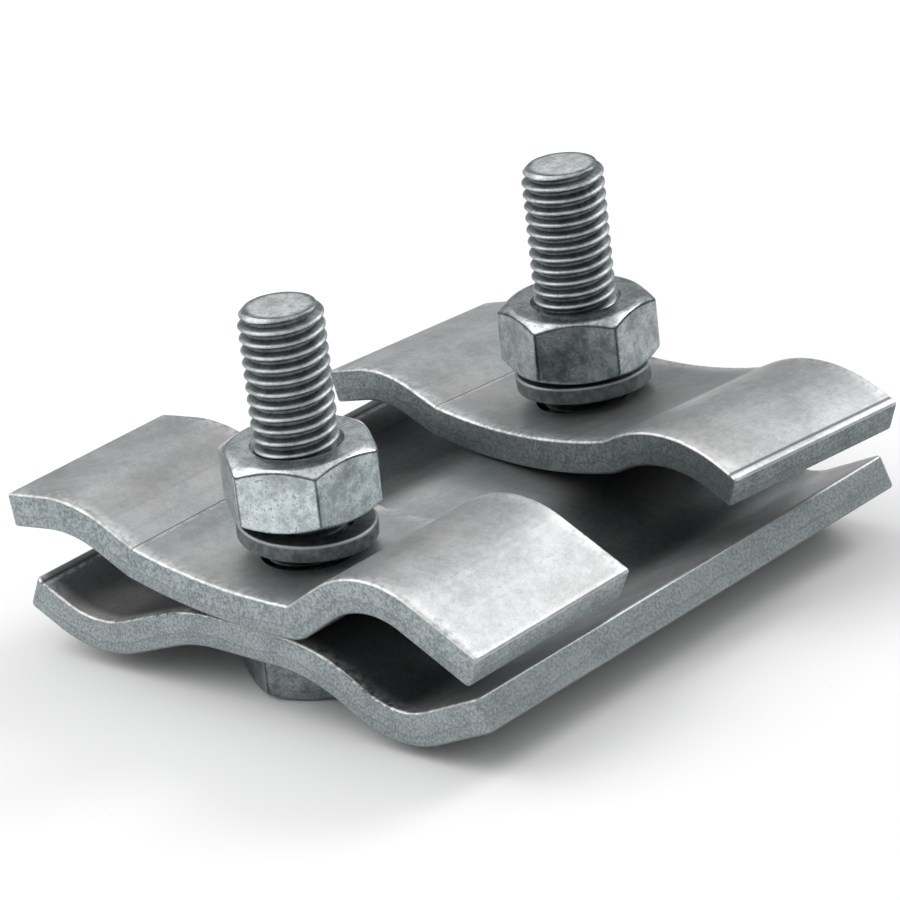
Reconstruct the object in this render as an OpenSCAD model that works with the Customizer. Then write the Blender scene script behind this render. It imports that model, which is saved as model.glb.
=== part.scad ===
// Parallel groove clamp: one long base plate, two short clamp plates, two bolted units.
// The two conductors run along X, one on each side of the ridge.
// The origin is on top of the ridge, midway between the two bolts. +Z is up.

/* [Base plate] */
// Length of the base plate along the conductors
base_len = 75; // [66:1:90]
// Thickness of the base plate
base_t = 4.2; // [3:0.1:5]
// Half width of the flat on top of the ridge
ridge_flat = 4.8; // [3:0.1:7]
// Mean radius of the two bends beside the flat of the ridge
ridge_r = 22; // [20:0.5:28]
// Slope of the ridge down to the left groove
left_flank_a = 20; // [14:1:26]
// Length of the straight part of the left flank
left_flank_len = 7; // [4:0.5:9]
// Mean radius of the left groove
left_groove_r = 14.8; // [11:0.2:18]
// Slope of the left rim
left_rim_a = 25; // [15:1:35]
// Length of the straight part of the left rim
left_rim_len = 5; // [3:0.5:8]
// Slope of the ridge down to the right groove
right_flank_a = 29; // [22:1:34]
// Length of the straight part of the right flank
right_flank_len = 2.2; // [1:0.1:4]
// Mean radius of the right groove
right_groove_r = 12; // [9:0.5:15]
// Slope of the right rim
right_rim_a = 23.5; // [15:0.5:32]
// Length of the straight part of the right rim
right_rim_len = 8.7; // [5:0.1:12]

/* [Clamp plates] */
// Length of each clamp plate along the conductors
plate_len = 26.7; // [24:0.1:30]
// Thickness of the clamp plates
plate_t = 4.2; // [3:0.1:5]
// Mean radius of the shallow valley, on which a clamp plate rocks
valley_r = 85; // [75:1:100]
// Mean radius of the crisp bend at each edge of the valley
crease_r = 3.2; // [3:0.1:5]
// Half angle of the valley on the left
left_valley_a = 10; // [9:0.1:12]
// Slope of the clamp plates up to the left hump
left_rise_a = 22; // [18:1:28]
// Length of the straight part of the left rise
left_rise_len = 4.6; // [3:0.1:6]
// Mean radius of the left hump
left_hump_r = 16.6; // [13:0.1:20]
// Slope of the left end
left_end_a = 10.7; // [6:0.1:16]
// How far the left end reaches past the middle of the base plate's left rim edge
left_reach = -0.28; // [-2:0.01:2]

/* [Right side of the front clamp plate] */
// Half angle of the valley on the right
front_valley_a = 6.4; // [6.4:0.1:8]
// Slope of the clamp plate up to its right hump
front_rise_a = 38; // [32:1:42]
// Length of the straight part of the right rise
front_rise_len = 5.4; // [4:0.1:7]
// Mean radius of the right hump
front_hump_r = 11.9; // [9:0.1:15]
// Slope of the right end
front_end_a = 23.1; // [18:0.1:28]
// How far the right end reaches past the middle of the base plate's right rim edge
front_reach = 1.03; // [-2:0.01:3]

/* [Right side of the rear clamp plate] */
// Half angle of the valley on the right
rear_valley_a = 11.1; // [9:0.1:12]
// Slope of the clamp plate up to its right hump
rear_rise_a = 22; // [18:1:28]
// Length of the straight part of the right rise
rear_rise_len = 2.1; // [1:0.1:4]
// Mean radius of the right hump
rear_hump_r = 20; // [16:0.1:24]
// Slope of the right end
rear_end_a = 27.4; // [22:0.1:32]
// Length of the straight part of the right end
rear_end_len = 2.6; // [1:0.1:5]

/* [Bolts, nuts and washers] */
// Nominal diameter of the bolts
bolt_d = 10; // [8:1:12]
// Distance between the two bolts
bolt_pitch = 50; // [46:1:60]
// Length of a bolt under its head
bolt_len = 39.2; // [36:0.1:45]
// Pitch of the screw thread
thread_pitch = 1.5; // [1.25:0.25:1.75]
// Length of the plain neck between a bolt's head and its thread
neck_len = 3; // [2:0.5:6]
// Width across the flats of heads and nuts
hex_af = 17; // [16:1:19]
// Height of a bolt head
head_h = 6.4; // [5:0.1:8]
// Height of a nut
nut_h = 8; // [7:0.1:10]
// Outer diameter of the spring washers
washer_d = 16.4; // [15.6:0.1:18]
// Thickness of the spring washers
washer_t = 2.1; // [1.6:0.1:2.6]
// Height of a spring washer before it is squashed
washer_free_h = 4.4; // [4:0.1:5.2]

/* [Rest pose of the loose units] */
// Swivel of the front clamp plate on its bolt
front_swivel = 0; // [-6:0.1:6]
// Rock of the front clamp plate across the ridge
front_rock = 3.1; // [-6:0.1:6]
// Swivel of the rear clamp plate on its bolt
rear_swivel = -7.8; // [-12:0.1:6]
// Rock of the rear clamp plate across the ridge
rear_rock = -5; // [-8:0.1:6]

/* [Hidden] */
$fn = 96;

// Largest turn between two neighbouring points of a bend, in degrees
bend_step = 2.5;
// Space left between loose pieces that touch
seat_gap = 0.25;
face_gap = 0.05;
// Holes for the bolts, and the clearance of each on the diameter
base_hole_clearance = 1;
plate_hole_clearance = 2;
base_hole_d = bolt_d + base_hole_clearance;
plate_hole_d = bolt_d + plate_hole_clearance;
// How far the middle of each clamp plate lies to the left of its bolt
front_shift = 1.3;
rear_shift = -1.9;
// Running clearance of the nuts, on the radius
thread_clearance = 0.05;
washer_clearance = 0.8;
washer_bore_d = bolt_d + washer_clearance;
washer_rise = washer_free_h - washer_t;
// The split of each washer: where it is, how wide, and how far its cut leans
front_split_a = 80;
rear_split_a = 30;
split_width_a = 10;
split_lean_a = 5;
washer_steps = 60;
// Hexagons: a cone of this angle trims the corners, which are rounded a little
chamfer_a = 30;
corner_share = 0.975;
face_share = 0.95;
hex_corner_r = hex_af / 2 / cos(30);
hex_round_r = corner_share * hex_corner_r;
hex_face_r = face_share * hex_af / 2;
hex_chamfer_h = (hex_round_r - hex_face_r) * tan(chamfer_a);
// Depth of the thread: the bolt's end and the mouths of a nut are turned down to it
thread_depth = 0.6134 * thread_pitch;
// Widths of a thread's root and of each of its flanks
root_w = thread_pitch / 4;
flank_w = thread_pitch * 5 / 16;
mouth_chamfer = thread_depth / 2;
// Drills and cutters run this far past a face
cut_past = 1;
front_nut_turn = -5.6;
rear_nut_turn = 8.4;
steel = [0.7, 0.71, 0.71];
bright_steel = [0.8, 0.8, 0.79];

// A path is a list of straight parts [length] and bends [mean radius, turn].
// It starts on the middle of the strip and runs outwards. A positive turn bends up.
left_base_path = [
  [ridge_flat], [ridge_r, -left_flank_a], [left_flank_len],
  [left_groove_r, left_flank_a + left_rim_a], [left_rim_len]
];
right_base_path = [
  [ridge_flat], [ridge_r, -right_flank_a], [right_flank_len],
  [right_groove_r, right_flank_a + right_rim_a], [right_rim_len]
];
left_plate_bends = [
  [valley_r, left_valley_a], [crease_r, left_rise_a - left_valley_a], [left_rise_len],
  [left_hump_r, -left_rise_a - left_end_a]
];
left_plate_path = ended(left_plate_bends, left_end_a, left_base_path, left_reach);
front_plate_bends = [
  [valley_r, front_valley_a], [crease_r, front_rise_a - front_valley_a], [front_rise_len],
  [front_hump_r, -front_rise_a - front_end_a]
];
front_plate_path = ended(front_plate_bends, front_end_a, right_base_path, front_reach);
rear_plate_path = [
  [valley_r, rear_valley_a], [crease_r, rear_rise_a - rear_valley_a], [rear_rise_len],
  [rear_hump_r, -rear_rise_a - rear_end_a], [rear_end_len]
];

// A pose is [distance outwards, height, slope]. This is the pose at a share of a segment.
function along(pose, seg, share) =
  len(seg) == 1
    ? [pose[0] + share * seg[0] * cos(pose[2]), pose[1] + share * seg[0] * sin(pose[2]), pose[2]]
    : let (side = sign(seg[1]) * seg[0], slope = pose[2] + share * seg[1])
      [
        pose[0] + side * (sin(slope) - sin(pose[2])),
        pose[1] - side * (cos(slope) - cos(pose[2])),
        slope
      ];

// Pose at the start of segment n
function start(path, n) = n == 0 ? [0, 0, 0] : along(start(path, n - 1), path[n - 1], 1);

// A path's bends with a straight end, which reaches this far past the rim that lies below
function ended(bends, end_a, rim_path, reach) =
  let (gap = start(rim_path, len(rim_path))[0] + reach - start(bends, len(bends))[0])
    concat(bends, [[gap / cos(end_a)]]);

function steps(seg) = len(seg) == 1 ? 1 : ceil(abs(seg[1]) / bend_step);

// All poses along a path
function poses(path) = [
  [0, 0, 0],
  for (n = [0 : len(path) - 1])
    let (first = start(path, n))
      for (k = [1 : steps(path[n])]) along(first, path[n], k / steps(path[n]))
];

// The point beside a pose, on the upper face for a positive height h
function beside(pose, h) = [pose[0] - h * sin(pose[2]), pose[1] + h * cos(pose[2])];

function reversed(list) = [for (n = [len(list) - 1 : -1 : 0]) list[n]];

// One face of the strip, from its right end to its left end, at height h off the middle
function face(left_path, right_path, h) = [
  for (pose = reversed(poses(right_path))) let (p = beside(pose, h)) [-p[0], p[1]],
  for (n = [1 : len(poses(left_path)) - 1]) beside(poses(left_path)[n], h)
];

// A pressed strip that runs across the conductors. Its middle lies at z = 0.
module pressed_strip(left_path, right_path, t, length) {
  rotate([90, 0, 90])
    linear_extrude(height = length, center = true)
      polygon(concat(
        face(left_path, right_path, -t / 2),
        reversed(face(left_path, right_path, t / 2))
      ));
}

// How high the bottom of a rocked valley stands when it rests on the ridge
ridge_top_r = ridge_r + base_t / 2;
valley_bottom_r = valley_r - plate_t / 2;
function seat_z(rock, shift) =
  let (centre_y = abs(shift - valley_bottom_r * sin(rock)), past_flat = max(0, centre_y - ridge_flat))
    sqrt(pow(valley_bottom_r + ridge_top_r + seat_gap, 2) - pow(past_flat, 2))
      - ridge_top_r - valley_bottom_r * cos(rock);

// Height on the bolt's axis of a level of the rocked plate
function level_z(rock, shift, level) = seat_z(rock, shift) + (level - shift * sin(rock)) / cos(rock);

// A flat ring on the valley touches it at its outer edge, this far above the middle
valley_top_r = valley_r + plate_t / 2;
function washer_level(shift) =
  plate_t + valley_top_r - sqrt(pow(valley_top_r, 2) - pow(washer_d / 2 + abs(shift), 2)) + face_gap;

function washer_z(rock, shift) = level_z(rock, shift, washer_level(shift));

// The coil climbs clockwise, against a right-hand thread
function coil_a(share, split_a) = split_a - share * (360 - split_width_a);

// A washer is slid along its tilt, so that its middle stays on the bolt's axis
function washer_slide(rock) = washer_free_h / 2 * tan(rock);

// A nut rests on the highest point of its washer
function nut_z(rock, shift, split_a) =
  washer_z(rock, shift) + face_gap + washer_slide(rock) * sin(rock) + max([
    for (n = [0 : washer_steps], r = [washer_bore_d / 2, washer_d / 2])
      let (share = n / washer_steps, a = coil_a(share, split_a) + split_lean_a)
        (washer_t + share * washer_rise) * cos(rock) + r * sin(a) * sin(rock)
  ]);

// A head touches the hollow under the ridge along two of its edges
ridge_under_r = ridge_r - base_t / 2;
head_seat_drop = ridge_under_r - sqrt(pow(ridge_under_r, 2) - pow(hex_af / 2 - ridge_flat, 2));
head_top_z = -base_t - head_seat_drop;

module base_plate() {
  color(steel)
    difference() {
      translate([0, 0, -base_t / 2])
        pressed_strip(left_base_path, right_base_path, base_t, base_len);
      for (side = [-1, 1])
        translate([side * bolt_pitch / 2, 0, -base_t - cut_past])
          cylinder(d = base_hole_d, h = base_t + 2 * cut_past);
    }
}

module clamp_plate(x, swivel, rock, shift, right_path) {
  // The hole is punched where the bolt passes the middle of the plate's thickness
  hole_off = (plate_t / 2 * sin(rock) - shift) / cos(rock);
  color(steel)
    translate([x, shift, seat_z(rock, shift)])
      rotate([rock, 0, 0])
        rotate([0, 0, swivel])
          difference() {
            translate([0, 0, plate_t / 2])
              pressed_strip(left_plate_path, right_path, plate_t, plate_len);
            translate([hole_off * sin(swivel), hole_off * cos(swivel), -cut_past])
              cylinder(d = plate_hole_d, h = plate_t + 2 * cut_past);
          }
}

// Hexagon prism with its corners cut by a cone at the bottom, and at the top if asked
module hexagon(h, top_chamfer) {
  top_z = h - (top_chamfer ? hex_chamfer_h : 0);
  top_r = top_chamfer ? hex_face_r : hex_round_r;
  intersection() {
    cylinder(r = hex_corner_r, h = h, $fn = 6);
    rotate_extrude()
      polygon([
        [0, 0], [hex_face_r, 0], [hex_round_r, hex_chamfer_h],
        [hex_round_r, top_z], [top_r, h], [0, h]
      ]);
  }
}

// One turn of the thread as a ring groove: its outline, as radius and height, from its foot up
function thread_groove(foot_z) = [
  [bolt_d / 2, foot_z],
  [bolt_d / 2 - thread_depth, foot_z + flank_w],
  [bolt_d / 2 - thread_depth, foot_z + flank_w + root_w],
  [bolt_d / 2, foot_z + flank_w + root_w + flank_w]
];

module bolt(x) {
  thread_top_z = bolt_len - thread_depth;
  turns = floor((thread_top_z - neck_len) / thread_pitch);
  color(bright_steel)
    translate([x, 0, head_top_z]) {
      translate([0, 0, -head_h])
        hexagon(head_h, false);
      rotate_extrude()
        polygon([
          [0, 0], [bolt_d / 2, 0],
          for (n = [turns : -1 : 1]) each thread_groove(thread_top_z - n * thread_pitch),
          [bolt_d / 2, thread_top_z], [bolt_d / 2 - thread_depth, bolt_len], [0, bolt_len]
        ]);
    }
}

module nut(x, turn, rock, shift, split_a) {
  bore_r = bolt_d / 2 + thread_clearance;
  color(bright_steel)
    translate([x, 0, nut_z(rock, shift, split_a)])
      rotate([0, 0, turn])
        difference() {
          hexagon(nut_h, true);
          translate([0, 0, -cut_past])
            cylinder(r = bore_r, h = nut_h + 2 * cut_past);
          for (z = [0, nut_h])
            translate([0, 0, z])
              rotate_extrude()
                polygon([
                  [0, -mouth_chamfer], [bore_r, -mouth_chamfer], [bore_r + mouth_chamfer, 0],
                  [bore_r, mouth_chamfer], [0, mouth_chamfer]
                ]);
        }
}

// The four corners of the coil's section, at a share of its length
function coil_section(share, split_a) =
  let (a = coil_a(share, split_a), low = share * washer_rise, high = low + washer_t)
    [
      for (corner = [[washer_bore_d / 2, low], [washer_d / 2, low],
                     [washer_d / 2, high], [washer_bore_d / 2, high]])
        let (lean = a + split_lean_a * (corner[1] - low) / washer_t)
          [corner[0] * cos(lean), corner[0] * sin(lean), corner[1]]
    ];

module spring_washer(x, rock, shift, split_a) {
  points = [for (n = [0 : washer_steps]) each coil_section(n / washer_steps, split_a)];
  corners = len(coil_section(0, split_a));
  last = corners * washer_steps;
  ends = [[for (k = [0 : corners - 1]) k], [for (k = [corners - 1 : -1 : 0]) last + k]];
  sides = [
    for (n = [0 : washer_steps - 1], k = [0 : corners - 1])
      let (this = corners * n, next = this + corners, other = (k + 1) % corners)
        [this + k, next + k, next + other, this + other]
  ];
  color(steel)
    translate([x, 0, washer_z(rock, shift)])
      rotate([rock, 0, 0])
        translate([0, washer_slide(rock), 0])
          polyhedron(points, concat(ends, sides));
}

module front_clamp_plate() {
  clamp_plate(-bolt_pitch / 2, front_swivel, front_rock, front_shift, front_plate_path);
}

module rear_clamp_plate() {
  clamp_plate(bolt_pitch / 2, rear_swivel, rear_rock, rear_shift, rear_plate_path);
}

module front_bolt() {
  bolt(-bolt_pitch / 2);
}

module rear_bolt() {
  bolt(bolt_pitch / 2);
}

module front_spring_washer() {
  spring_washer(-bolt_pitch / 2, front_rock, front_shift, front_split_a);
}

module rear_spring_washer() {
  spring_washer(bolt_pitch / 2, rear_rock, rear_shift, rear_split_a);
}

module front_nut() {
  nut(-bolt_pitch / 2, front_nut_turn, front_rock, front_shift, front_split_a);
}

module rear_nut() {
  nut(bolt_pitch / 2, rear_nut_turn, rear_rock, rear_shift, rear_split_a);
}

base_plate();
front_clamp_plate();
rear_clamp_plate();
front_bolt();
rear_bolt();
front_spring_washer();
rear_spring_washer();
front_nut();
rear_nut();
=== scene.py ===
# %% [markdown]
# # A parallel groove clamp
# The clamp joins two overhead conductors that run side by side. One long pressed plate lies
# below them, two short plates lie above, and two bolts with spring washers and nuts pull the
# plates together. Everything is hot-dip galvanised steel.
#
# The packed model is loaded first. It is the fixed frame: it says where each part lies and
# what moves with what, and its box is kept.

# %% Load the frame
import math
from math import cos, radians, sin, sqrt, tan, tau

import bmesh
import bpy
from mathutils import Matrix, Vector


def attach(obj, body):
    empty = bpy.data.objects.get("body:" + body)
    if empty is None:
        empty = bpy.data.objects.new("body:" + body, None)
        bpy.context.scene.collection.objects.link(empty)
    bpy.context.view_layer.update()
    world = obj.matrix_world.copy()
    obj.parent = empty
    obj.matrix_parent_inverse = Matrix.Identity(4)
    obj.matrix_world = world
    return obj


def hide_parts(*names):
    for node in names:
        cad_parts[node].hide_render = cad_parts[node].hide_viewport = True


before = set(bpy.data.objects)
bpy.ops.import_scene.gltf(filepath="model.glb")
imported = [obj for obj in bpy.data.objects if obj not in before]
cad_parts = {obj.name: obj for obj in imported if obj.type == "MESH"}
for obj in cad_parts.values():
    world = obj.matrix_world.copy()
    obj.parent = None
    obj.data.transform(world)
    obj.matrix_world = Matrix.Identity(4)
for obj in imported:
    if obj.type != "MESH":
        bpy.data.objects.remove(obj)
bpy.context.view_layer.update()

# %% [markdown]
# ## The sizes of the pressed plates
# Each plate is a flat blank that a press has bent. A path says how: it starts on the middle
# of the strip and runs outwards through straight parts (a length) and bends (a mean radius
# and a turn in degrees, where a positive turn bends up). The paths are written once, in
# millimetres, and are the same as in the construction model.

# %% Sizes in millimetres
MM = 0.001
SHEET_T = 4.2
BASE_LEN = 75
PLATE_LEN = 26.7
BOLT_X = 25
RIDGE_FLAT, RIDGE_R = 4.8, 22
VALLEY_R, CREASE_R = 85, 3.2

LEFT_BASE = [(RIDGE_FLAT,), (RIDGE_R, -20), (7,), (14.8, 45), (5,)]
RIGHT_BASE = [(RIDGE_FLAT,), (RIDGE_R, -29), (2.2,), (12, 52.5), (8.7,)]
LEFT_PLATE = [(VALLEY_R, 10), (CREASE_R, 12), (4.6,), (16.6, -32.7), (5.6,)]
FRONT_RIGHT = [(VALLEY_R, 6.4), (CREASE_R, 31.6), (5.4,), (11.9, -61.1), (10.5,)]
REAR_RIGHT = [(VALLEY_R, 11.1), (CREASE_R, 10.9), (2.1,), (20, -49.4), (2.6,)]


def part_length(part):
    """Length of one part of a path, measured along the middle of the sheet."""
    return part[0] if len(part) == 1 else part[0] * radians(abs(part[1]))


def walk(path, distance):
    """Sideways place, height and slope at a distance along a path."""
    y = z = slope = 0.0
    for part in path:
        length = part_length(part)
        share = min(distance / length, 1.0)
        if len(part) == 1:
            y += share * length * cos(slope)
            z += share * length * sin(slope)
        else:
            side = math.copysign(part[0], part[1])
            turned = slope + share * radians(part[1])
            y += side * (sin(turned) - sin(slope))
            z -= side * (cos(turned) - cos(slope))
            slope = turned
        distance -= length
        if distance <= 0:
            break
    return y, z, slope


for title, path in (("left base", LEFT_BASE), ("right base", RIGHT_BASE)):
    reach = walk(path, sum(map(part_length, path)))
    print(title, "reaches", round(reach[0], 2), "mm sideways")

# %% [markdown]
# ## A blank that is cut flat and then pressed
# The plates are made here as a press shop makes them. A flat blank gets its rounded corners,
# its worn arrises and its bolt holes first, and the bends come last. While it is flat, the
# blank's own coordinates are stored on the mesh. The finish uses them later, so that grain
# and shear marks follow the sheet round every bend, as they do on the real plate.
#
# The grid lines of the blank lie where the bends need them: close together in a tight bend,
# far apart on a straight part, with one line near each edge that keeps the rounding narrow.

# %% Grid lines of the blank
EDGE_LINE = 0.95        # from an edge to the line beside it
BEND_STEP = 1.8         # degrees of a bend from line to line
STRAIGHT_STEPS = 3
LINE_STEP = 3           # millimetres from line to line along the conductors


def lines_across(path):
    """Distances along a path at which the blank gets a grid line."""
    found, start = [0.0], 0.0
    for part in path:
        length = part_length(part)
        steps = STRAIGHT_STEPS
        if len(part) > 1:
            steps = max(2, math.ceil(abs(part[1]) / BEND_STEP))
        found += [start + length * k / steps for k in range(1, steps + 1)]
        start += length
    clear_of_edge = start - 1.2 * EDGE_LINE
    return [d for d in found if d < clear_of_edge] + [start - EDGE_LINE, start]


def lines_along(length):
    """Even lines from end to end of a plate, with one more line near each end."""
    half, count = length / 2, max(8, round(length / LINE_STEP))
    middle = [(half - EDGE_LINE) * (2 * k / count - 1) for k in range(count + 1)]
    return [-half] + middle + [half]


print("lines on the left of the base:", len(lines_across(LEFT_BASE)))
print("lines along a clamp plate:", len(lines_along(PLATE_LEN)))

# %% Cut the flat blank
ARRIS_R, ARRIS_STEPS, CORNER_STEPS = 0.42, 4, 5


def new_object(name, mesh):
    """A new object in the scene that takes over a mesh under work."""
    data = bpy.data.meshes.new(name)
    mesh.to_mesh(data)
    mesh.free()
    piece = bpy.data.objects.new(name, data)
    bpy.context.scene.collection.objects.link(piece)
    return piece


def flat_blank(name, across, along, corner_r):
    """A flat sheet with a grid of faces, rounded corners in plan and rounded arrises."""
    mesh = bmesh.new()
    half = SHEET_T / 2
    low, high = [
        [[mesh.verts.new((x, s, h)) for x in along] for s in across] for h in (-half, half)
    ]
    rows, columns = len(across), len(along)
    for i in range(rows - 1):
        for j in range(columns - 1):
            mesh.faces.new((high[i][j], high[i][j + 1], high[i + 1][j + 1], high[i + 1][j]))
            mesh.faces.new((low[i][j], low[i + 1][j], low[i + 1][j + 1], low[i][j + 1]))
    rim = [(0, j) for j in range(columns)] + [(i, columns - 1) for i in range(1, rows)]
    rim += [(rows - 1, j) for j in range(columns - 2, -1, -1)]
    rim += [(i, 0) for i in range(rows - 2, 0, -1)]
    for (a, b), (c, d) in zip(rim, rim[1:] + rim[:1]):
        mesh.faces.new((low[a][b], low[c][d], high[c][d], high[a][b]))

    corners = [(0, 0), (0, columns - 1), (rows - 1, 0), (rows - 1, columns - 1)]
    posts = [mesh.edges.get((low[i][j], high[i][j])) for i, j in corners]
    bmesh.ops.bevel(mesh, geom=posts, offset=corner_r, segments=CORNER_STEPS,
                    affect="EDGES", profile=0.5)
    mesh.normal_update()
    arrises = [
        e for e in mesh.edges
        if len(e.link_faces) == 2 and abs(e.calc_face_angle() - math.pi / 2) < 0.3
        and all(abs(abs(v.co.z) - half) < 1e-4 for v in e.verts)
    ]
    bmesh.ops.bevel(mesh, geom=arrises, offset=ARRIS_R, segments=ARRIS_STEPS,
                    affect="EDGES", profile=0.5)
    return new_object(name, mesh)


print("arrises are rounded by", ARRIS_R, "mm")

# %% Drill the blank
AROUND = 72             # points round a hole or a thread


def settle(piece):
    """Turns a piece and its modifiers into one plain mesh."""
    seen = piece.evaluated_get(bpy.context.evaluated_depsgraph_get())
    data = bpy.data.meshes.new_from_object(seen)
    old = piece.data
    piece.modifiers.clear()
    piece.data = data
    data.name = piece.name
    bpy.data.meshes.remove(old)


def drill(blank, places, radius):
    """Cuts round bolt holes through a flat blank."""
    for x, s in places:
        mesh = bmesh.new()
        bmesh.ops.create_cone(mesh, cap_ends=True, segments=AROUND, radius1=radius,
                              radius2=radius, depth=3 * SHEET_T)
        bmesh.ops.translate(mesh, verts=mesh.verts, vec=(x, s, 0))
        cutter = new_object("drill", mesh)
        cut = blank.modifiers.new("hole", "BOOLEAN")
        cut.operation, cut.solver, cut.object = "DIFFERENCE", "EXACT", cutter
        settle(blank)
        data = cutter.data
        bpy.data.objects.remove(cutter)
        bpy.data.meshes.remove(data)


print("a hole has", AROUND, "sides")

# %% [markdown]
# ## Press the blank
# Pressing moves every point of the blank to its place on the bent path, at its own height
# above or below the middle of the sheet. A face that stood upright while the blank was flat
# is a sheared edge and gets the second material; all others are rolled skin.

# %% Bend the blank along its two paths
UPRIGHT = 0.3           # how far up or down the face of a sheared edge may look


def press(blank, left, right, grain_shift):
    """Bends a flat blank and keeps its flat coordinates on the mesh as blank_place."""
    data = blank.data
    place = data.attributes.new("blank_place", "FLOAT_VECTOR", "POINT")
    sheared = [abs(face.normal.z) < UPRIGHT for face in data.polygons]
    for vertex in data.vertices:
        x, s, h = vertex.co
        place.data[vertex.index].vector = (x + grain_shift, s, h)
        y, z, slope = walk(left if s > 0 else right, abs(s))
        side = 1 if s > 0 else -1
        vertex.co = (x, side * (y - h * sin(slope)), z + h * cos(slope))
    for face, cut in zip(data.polygons, sheared):
        face.material_index = int(cut)
    print(blank.name, "has", len(data.polygons), "faces,", sum(sheared), "of them sheared")


def set_down(piece, matrix, sharp_deg=38):
    """Puts a finished mesh in its place, in metres, and keeps its hard edges hard."""
    piece.data.transform(Matrix.Scale(MM, 4) @ matrix)
    for face in piece.data.polygons:
        face.use_smooth = True
    piece.data.set_sharp_from_angle(angle=radians(sharp_deg))
    piece.data.update()
    low = [min(v.co[k] for v in piece.data.vertices) for k in range(3)]
    high = [max(v.co[k] for v in piece.data.vertices) for k in range(3)]
    print(piece.name, "spans", [round((b - a) / MM, 1) for a, b in zip(low, high)], "mm")


# %% [markdown]
# ## Where the loose units lie
# Nothing is gripped yet, so each clamp plate rocks a little on the ridge, and its hole is a
# little off its middle, so it lies to one side. Its valley touches the round of the ridge at
# one line, the washer stands on the valley, and the nut rests on the highest point of the
# washer's coil. The heights follow from those contacts, with the same small gaps as in the
# construction model.
#
# For each unit, rock is the tilt over the ridge, swivel the turn about the bolt and shift the
# place to the left of the bolt. Split is the direction of the washer's opening, and turn is
# how far the nut's corners are turned.

# %% Sizes and contacts of the loose units
SEAT_GAP, FACE_GAP = 0.25, 0.05
RIDGE_TOP_R, RIDGE_UNDER_R = RIDGE_R + SHEET_T / 2, RIDGE_R - SHEET_T / 2
VALLEY_BOTTOM_R, VALLEY_TOP_R = VALLEY_R - SHEET_T / 2, VALLEY_R + SHEET_T / 2
WASHER_D, WASHER_BORE, WASHER_T, WASHER_RISE = 16.4, 10.8, 2.1, 2.3
SPLIT_WIDTH_A, SPLIT_LEAN_A = 10, 5
HEX_AF, HEAD_H, NUT_H, BOLT_LEN = 17, 6.4, 8, 39.2


def seat_height(rock, shift):
    """Height of the valley's bottom when it is rocked and slid on the ridge."""
    past_flat = max(0, abs(shift - VALLEY_BOTTOM_R * sin(rock)) - RIDGE_FLAT)
    return (sqrt((VALLEY_BOTTOM_R + RIDGE_TOP_R + SEAT_GAP) ** 2 - past_flat ** 2)
            - RIDGE_TOP_R - VALLEY_BOTTOM_R * cos(rock))


def washer_height(rock, shift):
    """Height on the bolt's axis of the washer's underside."""
    edge = WASHER_D / 2 + abs(shift)
    level = SHEET_T + VALLEY_TOP_R - sqrt(VALLEY_TOP_R ** 2 - edge ** 2) + FACE_GAP
    return seat_height(rock, shift) + (level - shift * sin(rock)) / cos(rock)


def washer_slide(rock):
    """How far a tilted washer slides, until half its height lies on the bolt's axis."""
    return (WASHER_T + WASHER_RISE) / 2 * tan(rock)


def coil_angle(share, split):
    """Direction of the coil at a share of its length. It climbs clockwise."""
    return split - share * radians(360 - SPLIT_WIDTH_A)


def nut_height(rock, shift, split, steps=60):
    """Height of a nut's underside, on the highest point of its washer."""
    tops = [
        (WASHER_T + share * WASHER_RISE) * cos(rock)
        + r * sin(coil_angle(share, split) + radians(SPLIT_LEAN_A)) * sin(rock)
        for share in (n / steps for n in range(steps + 1))
        for r in (WASHER_BORE / 2, WASHER_D / 2)
    ]
    return (washer_height(rock, shift) + FACE_GAP + washer_slide(rock) * sin(rock)
            + max(tops))


HEAD_DROP = RIDGE_UNDER_R - sqrt(RIDGE_UNDER_R ** 2 - (HEX_AF / 2 - RIDGE_FLAT) ** 2)
HEAD_TOP = -SHEET_T - HEAD_DROP
print("the bolt heads reach up to", round(HEAD_TOP, 3), "mm")

# %% The two units
UNITS = {
    "front": dict(x=-BOLT_X, rock=radians(3.1), swivel=0.0, shift=1.3, split=radians(80),
                  turn=radians(-5.6), right=FRONT_RIGHT),
    "rear": dict(x=BOLT_X, rock=radians(-5), swivel=radians(-7.8), shift=-1.9,
                 split=radians(30), turn=radians(8.4), right=REAR_RIGHT),
}
for title, unit in UNITS.items():
    unit["seat"] = seat_height(unit["rock"], unit["shift"])
    unit["washer_z"] = washer_height(unit["rock"], unit["shift"])
    unit["nut_z"] = nut_height(unit["rock"], unit["shift"], unit["split"])
    print(title, {k: round(unit[k], 3) for k in ("seat", "washer_z", "nut_z")})

# %% [markdown]
# ## The base plate
# One long blank with two holes for the bolts. The grooves on both sides of its ridge carry
# the conductors, and the rims outside them are turned up.

# %% Make the base plate
BASE_HOLE_R, BASE_CORNER_R = 5.5, 0.9


def sheet(name, left, right, length, holes, hole_r, corner_r, grain_shift):
    """A whole pressed plate, with its middle line at the origin."""
    across = [-d for d in reversed(lines_across(right))] + lines_across(left)[1:]
    blank = flat_blank(name, across, lines_along(length), corner_r)
    drill(blank, holes, hole_r)
    press(blank, left, right, grain_shift)
    return blank


base = sheet("base_pressing", LEFT_BASE, RIGHT_BASE, BASE_LEN,
             [(-BOLT_X, 0), (BOLT_X, 0)], BASE_HOLE_R, BASE_CORNER_R, 0)
set_down(base, Matrix.Translation((0, 0, -SHEET_T / 2)))
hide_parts("base_plate")
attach(base, "clamp_base")

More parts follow.
